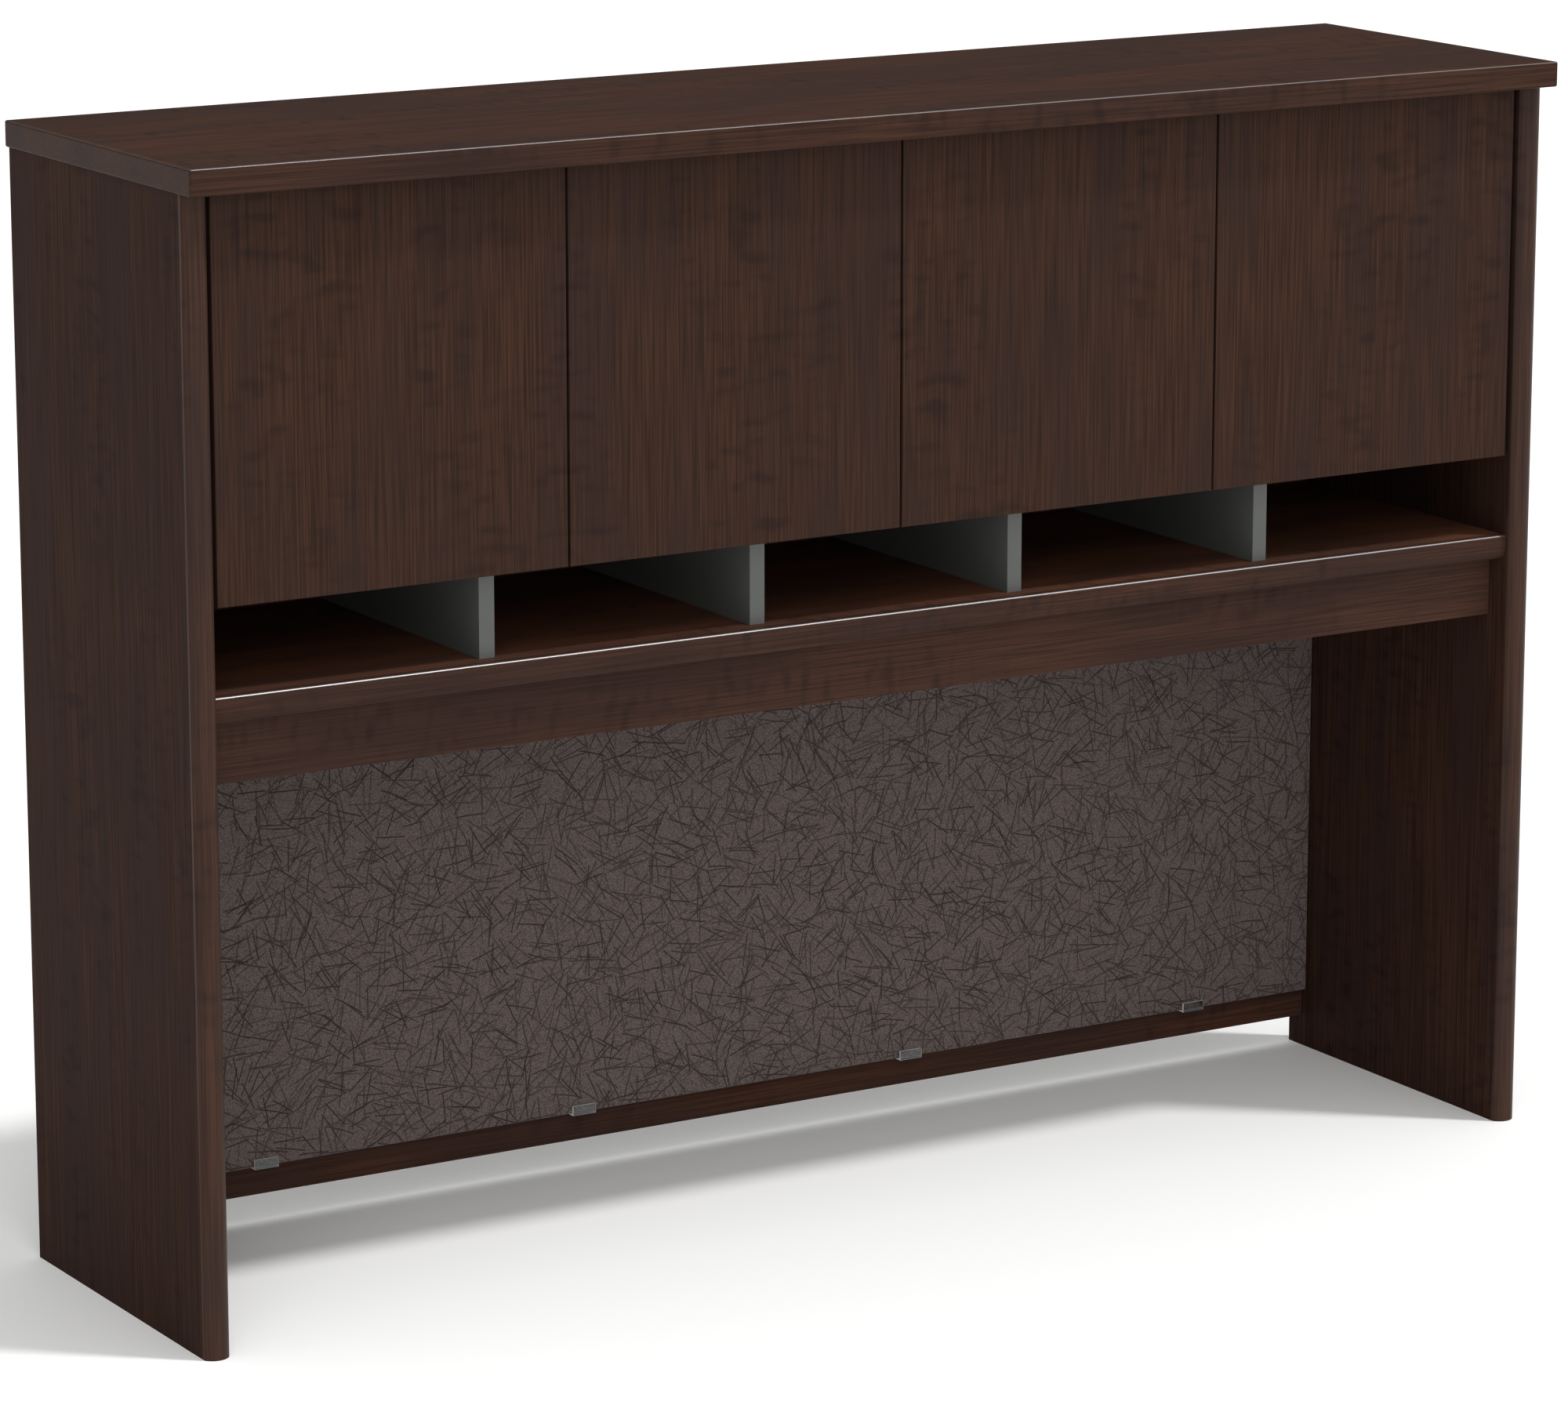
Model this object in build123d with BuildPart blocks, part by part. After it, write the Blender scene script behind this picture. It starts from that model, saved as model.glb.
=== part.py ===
"""Desk hutch with four hinged doors, an open cubby row, a valance and a tackboard.

Millimetres.  X runs along the width, -Y is the front, +Z is up.  The origin is on the
surface that the hutch stands on, at the middle of its width and of its top panel's depth.
Hinge parts are drawn in their own frame: u runs from the door's hinged edge towards its
free edge, v from the door's front face towards the back, and w along the height.
"""
import os

from build123d import *

os.makedirs("parts", exist_ok=True)

# ---------------------------------------------------------------- driving dimensions
# overall
width = 1500.0
depth = 390.0
height = 1095.0

# boards
carcass_board = 25.0
inner_board = 18.0
divider_board = 16.0
back_sheet = 6.0
edge_band = 1.0

# how far the top panel stands out past the sides
top_side_overhang = 2.0
top_back_overhang = 5.0
top_front_overhang = 19.0
top_band = 3.0
top_edge_round = 2.2

# front mouldings of the sides, crowned, and of the cubby shelf
moulding_flat = 3.0
moulding_crown = 7.0

# the shelf moulding has a crisp top corner and rolls back under at the bottom
nose_round = 3.0
nose_roll = 14.0

# heights
shelf_top = 615.0
cubby_height = 100.0
valance_drop = 61.0
cable_gap = 33.0
tackboard_bottom = 63.5

# front faces of what stands between the sides, behind the sides' front edge; the dividers'
# is behind the front of the compartment floor
door_setback = 9.0
shelf_setback = 11.0
valance_setback = 37.0
divider_setback = 4.0
shelf_back_setback = 4.0
back_sheet_setback = 2.0

# doors
door_thickness = 18.0
door_gap = 2.5
door_side_gap = 5.0
door_top_gap = 3.0
door_finger_grip = 18.0
door_edge_round = 0.8
door_to_floor = 2.0
door_to_partition = 8.0
bumper_radius = 4.0
bumper_gap = 0.3
bumper_inset = 40.0

# tackboard
tackboard_thickness = 10.0
fabric = 1.2
tackboard_gap = 1.5
tackboard_top_gap = 3.0
clip_width = 25.7
clip_reach = 8.0
clip_wall = 1.8
clip_leg = 16.0
clip_clearance = 0.3
clip_pocket = 3.6
clip_end_inset = 174.5
clip_pair_spacing = 354.0
clip_shift = 26.0
clip_screw_rise = 9.5
clip_screw_length = 12.0

# concealed hinges; sizes named back are measured from the door's back face
hinge_inset = 85.0
cup_centre_u = 22.5
cup_radius = 17.4
cup_wall = 1.4
cup_depth = 12.3
cup_floor = 1.2
flange = 1.0
flange_length = 60.0
flange_low_u = 5.5
flange_high_u = 40.0
cup_screw_u = 32.0
cup_screw_w = 24.0
link_pivot_u = 9.0
link_pivot_back = 4.0
link_bends = ((44.4, 20.9), (42.7, 15.9))
link_end_u = 33.0
link_end_back = -5.1
link_width = 6.0
link_strip = 1.6
link_eye = 2.2
link_tip = 1.4
hinge_pin = 1.2
pin_clearance = 0.08
arm_width = 11.6
arm_slot = 6.8
arm_height = 6.0
arm_start_back = 12.0
arm_slot_back = 18.0
arm_end_back = 72.0
plate_start_back = 26.0
plate_end_back = 66.0
plate_width = 16.0
plate_wing = 2.0
plate_wing_width = 44.0
plate_screw_w = 16.0
plate_screw_back = 46.0
arm_screw_back = 58.0

# fasteners
fit = 0.1
joint_inset = 36.0
joint_to_valance = 10.0
back_joint_inset = 70.0
back_screw_inset = 83.0
cam_radius = 7.4
cam_depth = 12.0
cam_back = 24.0
bolt_radius = 3.0
bolt_head_radius = 3.6
bolt_thread_radius = 3.4
bolt_thread = 10.0
bolt_reach = 26.0
bolt_head = 4.0
bolt_clearance = 0.5
dowel_radius = 4.0
dowel_length = 30.0
dowel_slack = 1.0
screw_radius = 1.75
screw_head_radius = 3.4
screw_head = 0.8
panel_screw_length = 28.0
panel_screw_head_radius = 4.0
panel_screw_head = 2.0
plate_screw_length = 8.0
cup_screw_length = 12.0
insert_radius = 5.0
insert_bore = 3.2
insert_length = 13.0
insert_spacing = 240.0
insert_run_out = 12.0

# ---------------------------------------------------------------- derived places
top_under = height - carcass_board
side_out = width / 2 - top_side_overhang
side_in = side_out - carcass_board
side_front = -depth / 2 + top_front_overhang
side_back = depth / 2 - top_back_overhang
side_spring = side_front + moulding_crown
side_core_front = side_spring + moulding_flat

shelf_under = shelf_top - carcass_board
shelf_middle = shelf_top - carcass_board / 2
shelf_front = side_front + shelf_setback
shelf_core_front = shelf_front + moulding_crown + moulding_flat
shelf_back = side_back - shelf_back_setback
inner_back = shelf_back - back_sheet - back_sheet_setback
back_sheet_face = inner_back + back_sheet

floor_under = shelf_top + cubby_height
floor_top = floor_under + inner_board
floor_middle = floor_under + inner_board / 2

door_front = side_front + door_setback
door_back = door_front + door_thickness
door_bottom = floor_under - door_finger_grip
door_top = top_under - door_top_gap
floor_front = door_back + door_to_floor
partition_front = door_back + door_to_partition
hinge_heights = (door_bottom + hinge_inset, door_top - hinge_inset)
link_pivot_v = door_thickness + link_pivot_back
link_end = (link_end_u, door_thickness + link_end_back)
arm_start_v = door_thickness + arm_start_back
arm_slot_v = door_thickness + arm_slot_back
arm_clear_v = door_thickness + door_to_partition
arm_low_u = (inner_board - door_gap) / 2 + plate_wing
arm_high_u = arm_low_u + arm_height
arm_end_v = door_thickness + arm_end_back
plate_limits_v = (door_thickness + plate_start_back, door_thickness + plate_end_back)
plate_screw_v = door_thickness + plate_screw_back
arm_screw_v = door_thickness + arm_screw_back

divider_front = floor_front + divider_setback
divider_pitch = 2 * side_in / 5
divider_centres = [divider_pitch * step for step in (-1.5, -0.5, 0.5, 1.5)]

valance_front = side_front + valance_setback
valance_bottom = shelf_under - valance_drop
valance_middle = shelf_under - valance_drop / 2

lower_back_front = shelf_back - inner_board
tackboard_front = lower_back_front - tackboard_thickness
tackboard_top = shelf_under - tackboard_top_gap
tackboard_side = side_in - tackboard_gap
clip_lip_back = tackboard_front - clip_clearance
clip_lip_front = clip_lip_back - clip_wall
clip_outer = tackboard_side - clip_end_inset
clip_centres = [clip_shift + side * spread
                for side in (-1, 1) for spread in (clip_outer - clip_pair_spacing, clip_outer)]

# rows of fasteners along the depth of the boards that run between the sides
front_row = valance_front + inner_board + joint_to_valance
back_row = inner_back - joint_inset
middle_row = (front_row + back_row) / 2
dowel_rows = ((front_row + middle_row) / 2, (middle_row + back_row) / 2)

# each door: number, x of its hinged edge, the way it runs from there, and x of the carcass
# face that its hinge arms stand on
door_span = (side_in - door_side_gap - 1.5 * door_gap) / 2
doors = [
    (1, -side_in + door_side_gap, 1, -side_in),
    (2, -door_gap / 2, -1, -inner_board / 2),
    (3, door_gap / 2, 1, inner_board / 2),
    (4, side_in - door_side_gap, -1, side_in),
]


# ---------------------------------------------------------------- shared shapes
def board(x, y, z, mode=Mode.ADD):
    """Add a square-edged board between (low, high) limits on each axis."""
    centre = tuple((low + high) / 2 for low, high in (x, y, z))
    with Locations(centre):
        Box(x[1] - x[0], y[1] - y[0], z[1] - z[0], mode=mode)


def at(frame, u=0, v=0, w=0, rx=0, ry=0, rz=0):
    """Return the location (u, v, w), turned by rx, ry, rz, inside a frame."""
    return frame.location * Location((u, v, w), (rx, ry, rz))


def rod(places, radius, length, mode=Mode.ADD):
    """Add a cylinder at each place, running from it along its own z."""
    with Locations(*places):
        Cylinder(radius, length, align=(Align.CENTER, Align.CENTER, Align.MIN), mode=mode)


def cam_pockets(joints, half):
    """Cut the cam pocket and the bolt hole that leads to it, half a board from its face."""
    rod([at(j) for j in joints], bolt_head_radius + fit, bolt_reach + 1, Mode.SUBTRACT)
    rod([at(j, half, 0, cam_back, 0, -90) for j in joints],
        cam_radius + fit, cam_depth + fit, Mode.SUBTRACT)


def bolt_sockets(joints):
    """Cut the threaded sockets of the cam bolts."""
    rod([at(j, rx=180) for j in joints], bolt_thread_radius + fit, bolt_thread + fit, Mode.SUBTRACT)


def dowel_sockets(joints):
    """Cut the dowel holes, which run equally far into both boards."""
    with Locations(*[at(j) for j in joints]):
        Cylinder(dowel_radius + fit, dowel_length + dowel_slack, mode=Mode.SUBTRACT)


def strips(outer, inner, y):
    """Add the four edge strips of a panel that stands upright between y limits."""
    (x0, x1, z0, z1), (p0, p1, q0, q1) = outer, inner
    for z in ((z0, q0), (q1, z1)):
        board((x0, x1), y, z)
    for x in ((x0, p0), (p1, x1)):
        board(x, y, (q0, q1))


def finish(builder, name):
    """Label a finished piece and write it."""
    builder.part.label = name
    export_step(builder.part, f"parts/{name}.step")


# ---------------------------------------------------------------- joint frames
# z runs from the joint into the board that holds the cam, x out of the face of the cam
def end_joints(z, places):
    """Return the frames of a board's two ends, where it meets the sides, at each y."""
    return [Plane(origin=(side * side_in, y, z), x_dir=(0, 0, way), z_dir=(-side, 0, 0))
            for side in (-1, 1) for y, way in places]


shelf_joints = end_joints(shelf_middle, [(front_row, -1), (back_row, -1)])
shelf_dowels = end_joints(shelf_middle, [(middle_row, 1)])
floor_joints = end_joints(floor_middle, [(front_row, 1), (back_row, 1)])
floor_dowels = end_joints(floor_middle, [(middle_row, 1)])
valance_joints = [
    Plane(origin=(side * side_in, valance_front + inner_board / 2, valance_middle),
          x_dir=(0, 1, 0), z_dir=(-side, 0, 0)) for side in (-1, 1)]
lower_back_rows = (cable_gap + back_joint_inset, (cable_gap + shelf_under) / 2,
                   shelf_under - back_joint_inset)
lower_back_joints = [
    Plane(origin=(side * side_in, shelf_back - inner_board / 2, z),
          x_dir=(0, 1, 0), z_dir=(-side, 0, 0)) for side in (-1, 1) for z in lower_back_rows]
side_middle = side_in + carcass_board / 2
top_side_joints = [
    Plane(origin=(side * side_middle, y, top_under), x_dir=(-side, 0, 0), z_dir=(0, 0, -1))
    for side in (-1, 1) for y in (front_row, back_row)]
top_side_dowels = [
    Plane(origin=(side * side_middle, y, top_under)) for side in (-1, 1) for y in dowel_rows]
partition_top_joints = [
    Plane(origin=(0, y, top_under), x_dir=(1, 0, 0), z_dir=(0, 0, -1))
    for y in (middle_row, back_row)]
partition_floor_joints = [
    Plane(origin=(0, y, floor_top), x_dir=(1, 0, 0), z_dir=(0, 0, 1))
    for y in (middle_row, back_row)]
divider_dowels = [
    Plane(origin=(x, y, z)) for x in divider_centres for y in dowel_rows
    for z in (shelf_top, floor_under)]

cam_holders = [
    (shelf_joints, carcass_board / 2), (floor_joints, inner_board / 2),
    (valance_joints, inner_board / 2), (lower_back_joints, inner_board / 2),
    (top_side_joints, carcass_board / 2), (partition_top_joints, inner_board / 2),
    (partition_floor_joints, inner_board / 2)]
all_dowels = shelf_dowels + floor_dowels + top_side_dowels + divider_dowels

# screws of the upper back panel, driven forwards from its back face
back_screw_reach = side_in - back_screw_inset
floor_screw_spots = [(side * share * back_screw_reach, floor_middle)
                     for side in (-1, 1) for share in (0.2, 0.6, 1.0)]
partition_screw_spots = [(0, floor_top + share * (top_under - floor_top))
                         for share in (0.2, 0.5, 0.8)]
divider_screw_spots = [(x, shelf_top + cubby_height / 2) for x in divider_centres]
back_screw_places = [
    Location((x, back_sheet_face, z), (90, 0, 0))
    for x, z in floor_screw_spots + partition_screw_spots + divider_screw_spots]

# inserts in the feet, open downwards
insert_places = [Location((side * side_middle, way * insert_spacing / 2, 0))
                 for side in (-1, 1) for way in (-1, 1)]


# ---------------------------------------------------------------- hinge frames
def hinge_frames(edge, run):
    """Return one frame for each hinge of a door whose hinged edge is at x = edge."""
    return [Plane(origin=(edge, door_front, z), x_dir=(run, 0, 0), z_dir=(0, 0, run))
            for z in hinge_heights]


def carcass_face_u(edge, run, face):
    """Return the u at which the hinge arms meet the carcass."""
    return (face - edge) * run


def plate_screw_places(number, edge, run, face):
    """Return where the mounting plates' screws start, on top of the plates' wings."""
    u = carcass_face_u(edge, run, face) + plate_wing
    return [at(frame, u, plate_screw_v, w, 0, -90)
            for frame in hinge_frames(edge, run) for w in (-plate_screw_w, plate_screw_w)]


def cup_screw_places(edge, run):
    """Return where the cup screws start, on the door's back face."""
    return [at(frame, cup_screw_u, door_thickness, w, 90)
            for frame in hinge_frames(edge, run) for w in (-cup_screw_w, cup_screw_w)]


side_plate_screws = plate_screw_places(*doors[0]) + plate_screw_places(*doors[3])
partition_plate_screws = plate_screw_places(*doors[1]) + plate_screw_places(*doors[2])


# ---------------------------------------------------------------- top panel
with BuildPart() as top_panel:
    board((-width / 2 + top_band, width / 2 - top_band),
          (-depth / 2 + top_band, depth / 2 - top_band), (top_under, height))
    bolt_sockets(top_side_joints + partition_top_joints)
    dowel_sockets(top_side_dowels)
finish(top_panel, "top_panel")

with BuildPart() as top_edge_bands:
    with BuildSketch(Plane.XY.offset(top_under)):
        RectangleRounded(width, depth, top_edge_round)
        Rectangle(width - 2 * top_band, depth - 2 * top_band, mode=Mode.SUBTRACT)
    extrude(amount=carcass_board)
    flat_faces = top_edge_bands.faces().filter_by(Axis.Z).sort_by(Axis.Z)
    fillet(flat_faces[0].outer_wire().edges() + flat_faces[-1].outer_wire().edges(),
           top_edge_round)
finish(top_edge_bands, "top_edge_bands")


# ---------------------------------------------------------------- sides
def crowned_limits(inner):
    """Return the x limits of a side panel from the x of its inner face."""
    return sorted((inner, inner + carcass_board if inner > 0 else inner - carcass_board))


for side_name, side in (("left", -1), ("right", 1)):
    x_limits = crowned_limits(side * side_in)
    with BuildPart() as side_panel:
        board(x_limits, (side_core_front, side_back), (0, top_under))
        bolt_sockets([j for j in shelf_joints + floor_joints + valance_joints + lower_back_joints
                      if j.origin.X * side > 0])
        dowel_sockets([j for j in shelf_dowels + floor_dowels + top_side_dowels
                       if j.origin.X * side > 0])
        cam_pockets([j for j in top_side_joints if j.origin.X * side > 0], carcass_board / 2)
        rod([p for p in side_plate_screws if p.position.X * side > 0],
            screw_radius + fit, plate_wing + plate_screw_length + fit, Mode.SUBTRACT)
        rod([p for p in insert_places if p.position.X * side > 0],
            insert_radius + fit, insert_length + fit, Mode.SUBTRACT)
        rod([p for p in insert_places if p.position.X * side > 0],
            insert_bore, insert_length + insert_run_out, Mode.SUBTRACT)
    finish(side_panel, f"{side_name}_side_panel")

    with BuildPart() as side_front_edge:
        with BuildSketch() as crown:
            with BuildLine():
                Polyline((x_limits[0], side_spring), (x_limits[0], side_core_front),
                         (x_limits[1], side_core_front), (x_limits[1], side_spring))
                SagittaArc((x_limits[1], side_spring), (x_limits[0], side_spring), moulding_crown)
            make_face()
        extrude(amount=top_under)
    finish(side_front_edge, f"{side_name}_front_edge")

with BuildPart() as foot_inserts:
    rod(insert_places, insert_radius, insert_length)
    rod(insert_places, insert_bore, insert_length, Mode.SUBTRACT)
finish(foot_inserts, "foot_inserts")

# ---------------------------------------------------------------- cubby shelf
with BuildPart() as cubby_shelf:
    board((-side_in, side_in), (shelf_core_front, shelf_back), (shelf_under, shelf_top))
    cam_pockets(shelf_joints, carcass_board / 2)
    dowel_sockets(shelf_dowels + divider_dowels)
finish(cubby_shelf, "cubby_shelf")

with BuildPart() as shelf_front_edge:
    with BuildSketch(Plane.YZ.offset(-side_in)):
        with BuildLine():
            spring = shelf_front + moulding_crown
            CenterArc((shelf_front + nose_round, shelf_top - nose_round), nose_round, 90, 90)
            Line((shelf_front, shelf_top - nose_round), (shelf_front, shelf_under + nose_roll))
            EllipticalCenterArc((spring, shelf_under + nose_roll), moulding_crown, nose_roll,
                                start_angle=180, arc_size=90)
            Polyline((spring, shelf_under), (shelf_core_front, shelf_under),
                     (shelf_core_front, shelf_top), (shelf_front + nose_round, shelf_top))
        make_face()
    extrude(amount=2 * side_in)
finish(shelf_front_edge, "shelf_front_edge")

# ---------------------------------------------------------------- cubby dividers
for number, x in enumerate(divider_centres, start=1):
    x_limits = (x - divider_board / 2, x + divider_board / 2)
    with BuildPart() as cubby_divider:
        board(x_limits, (divider_front + edge_band, inner_back), (shelf_top, floor_under))
        dowel_sockets(divider_dowels)
        rod(back_screw_places, screw_radius + fit, panel_screw_length + fit, Mode.SUBTRACT)
    finish(cubby_divider, f"cubby_divider_{number}")

with BuildPart() as divider_edge_bands:
    for x in divider_centres:
        board((x - divider_board / 2, x + divider_board / 2),
              (divider_front, divider_front + edge_band), (shelf_top, floor_under))
finish(divider_edge_bands, "divider_edge_bands")

# ---------------------------------------------------------------- closed compartments
with BuildPart() as compartment_floor:
    board((-side_in, side_in), (floor_front + edge_band, inner_back), (floor_under, floor_top))
    cam_pockets(floor_joints, inner_board / 2)
    bolt_sockets(partition_floor_joints)
    dowel_sockets(floor_dowels + divider_dowels)
    rod(back_screw_places, screw_radius + fit, panel_screw_length + fit, Mode.SUBTRACT)
finish(compartment_floor, "compartment_floor")

with BuildPart() as centre_partition:
    board((-inner_board / 2, inner_board / 2), (partition_front + edge_band, inner_back),
          (floor_top, top_under))
    cam_pockets(partition_top_joints + partition_floor_joints, inner_board / 2)
    rod(partition_plate_screws, screw_radius + fit,
        plate_wing + plate_screw_length + fit, Mode.SUBTRACT)
    rod(back_screw_places, screw_radius + fit, panel_screw_length + fit, Mode.SUBTRACT)
finish(centre_partition, "centre_partition")

with BuildPart() as compartment_edge_bands:
    board((-side_in, side_in), (floor_front, floor_front + edge_band), (floor_under, floor_top))
    board((-inner_board / 2, inner_board / 2), (partition_front, partition_front + edge_band),
          (floor_top, top_under))
finish(compartment_edge_bands, "compartment_edge_bands")

with BuildPart() as upper_back_panel:
    board((-side_in, side_in), (inner_back, back_sheet_face), (shelf_top, top_under))
    rod(back_screw_places, screw_radius + fit, back_sheet, Mode.SUBTRACT)
    rod(back_screw_places, panel_screw_head_radius + fit, panel_screw_head, Mode.SUBTRACT)
finish(upper_back_panel, "upper_back_panel")

with BuildPart() as back_panel_screws:
    rod(back_screw_places, screw_radius, panel_screw_length)
    rod(back_screw_places, panel_screw_head_radius, panel_screw_head)
finish(back_panel_screws, "back_panel_screws")

# ---------------------------------------------------------------- desk space
with BuildPart() as valance_rail:
    board((-side_in, side_in), (valance_front, valance_front + inner_board),
          (valance_bottom + edge_band, shelf_under))
    cam_pockets(valance_joints, inner_board / 2)
finish(valance_rail, "valance_rail")

with BuildPart() as valance_edge_band:
    board((-side_in, side_in), (valance_front, valance_front + inner_board),
          (valance_bottom, valance_bottom + edge_band))
finish(valance_edge_band, "valance_edge_band")

# clips hook over the tackboard's lower and upper edges: edge height, way into the board
clip_edges = ((tackboard_bottom, 1), (tackboard_top, -1))
clip_screw_places = [
    Location((x, lower_back_front - clip_wall, edge + way * clip_screw_rise), (-90, 0, 0))
    for edge, way in clip_edges for x in clip_centres]

with BuildPart() as lower_back_board:
    board((-side_in, side_in), (lower_back_front, shelf_back), (cable_gap, shelf_under))
    cam_pockets(lower_back_joints, inner_board / 2)
    rod(clip_screw_places, screw_radius + fit, clip_wall + clip_screw_length, Mode.SUBTRACT)
finish(lower_back_board, "lower_back_board")

clip_pockets = [
    ((x - clip_width / 2 - fit, x + clip_width / 2 + fit),
     (lower_back_front - clip_pocket, lower_back_front),
     sorted((edge, edge + way * (clip_leg + fit)))) for edge, way in clip_edges for x in clip_centres]
core_limits = ((-tackboard_side + fabric, tackboard_side - fabric),
               (tackboard_front + fabric, lower_back_front),
               (tackboard_bottom + fabric, tackboard_top - fabric))

with BuildPart() as tackboard_core:
    board(*core_limits)
    for pocket in clip_pockets:
        board(*pocket, Mode.SUBTRACT)
finish(tackboard_core, "tackboard_core")

# the fabric is drawn over the front and round the four edges of the core
with BuildPart() as tackboard_fabric:
    board((-tackboard_side, tackboard_side), (tackboard_front, lower_back_front),
          (tackboard_bottom, tackboard_top))
    board(*core_limits, Mode.SUBTRACT)
    for pocket in clip_pockets:
        board(*pocket, Mode.SUBTRACT)
finish(tackboard_fabric, "tackboard_fabric")

with BuildPart() as tackboard_clips:
    for edge, way in clip_edges:
        ledge = sorted((edge - way * fit, edge - way * (fit + clip_wall)))
        lip = sorted((edge - way * (fit + clip_wall), edge + way * clip_reach))
        leg = sorted((edge - way * (fit + clip_wall), edge + way * clip_leg))
        for x in clip_centres:
            x_limits = (x - clip_width / 2, x + clip_width / 2)
            board(x_limits, (clip_lip_front, clip_lip_back), lip)
            board(x_limits, (clip_lip_front, lower_back_front), ledge)
            board(x_limits, (lower_back_front - clip_wall, lower_back_front), leg)
    rod(clip_screw_places, screw_radius + fit, clip_wall, Mode.SUBTRACT)
finish(tackboard_clips, "tackboard_clips")

with BuildPart() as clip_screws:
    rod(clip_screw_places, screw_radius, clip_wall + clip_screw_length)
    rod([p * Location((0, 0, 0), (180, 0, 0)) for p in clip_screw_places],
        screw_head_radius, screw_head)
finish(clip_screws, "clip_screws")

# ---------------------------------------------------------------- fasteners
with BuildPart() as cam_bolts:
    for joints, half in cam_holders:
        rod([at(j, rx=180) for j in joints], bolt_thread_radius, bolt_thread)
        rod([at(j) for j in joints], bolt_radius, bolt_reach - bolt_head)
        rod([at(j, w=bolt_reach - bolt_head) for j in joints], bolt_head_radius, bolt_head)
finish(cam_bolts, "cam_bolts")

with BuildPart() as cam_housings:
    for joints, half in cam_holders:
        rod([at(j, half, 0, cam_back, 0, -90) for j in joints], cam_radius, cam_depth)
    for joints, half in cam_holders:
        rod([at(j) for j in joints], bolt_head_radius + bolt_clearance,
            bolt_reach + bolt_clearance, Mode.SUBTRACT)
finish(cam_housings, "cam_housings")

with BuildPart() as dowels:
    with Locations(*[at(j) for j in all_dowels]):
        Cylinder(dowel_radius, dowel_length)
finish(dowels, "dowels")

with BuildPart() as plate_screws:
    rod(side_plate_screws + partition_plate_screws, screw_radius, plate_wing + plate_screw_length)
    rod([p * Location((0, 0, 0), (180, 0, 0))
         for p in side_plate_screws + partition_plate_screws], screw_head_radius, screw_head)
finish(plate_screws, "plate_screws")

bumper_thickness = door_to_floor - bumper_gap
with BuildPart() as door_bumpers:
    rod([Location((edge + run * reach, floor_front, floor_middle), (90, 0, 0))
         for _, edge, run, _ in doors for reach in (bumper_inset, door_span - bumper_inset)],
        bumper_radius, bumper_thickness)
finish(door_bumpers, "door_bumpers")

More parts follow.
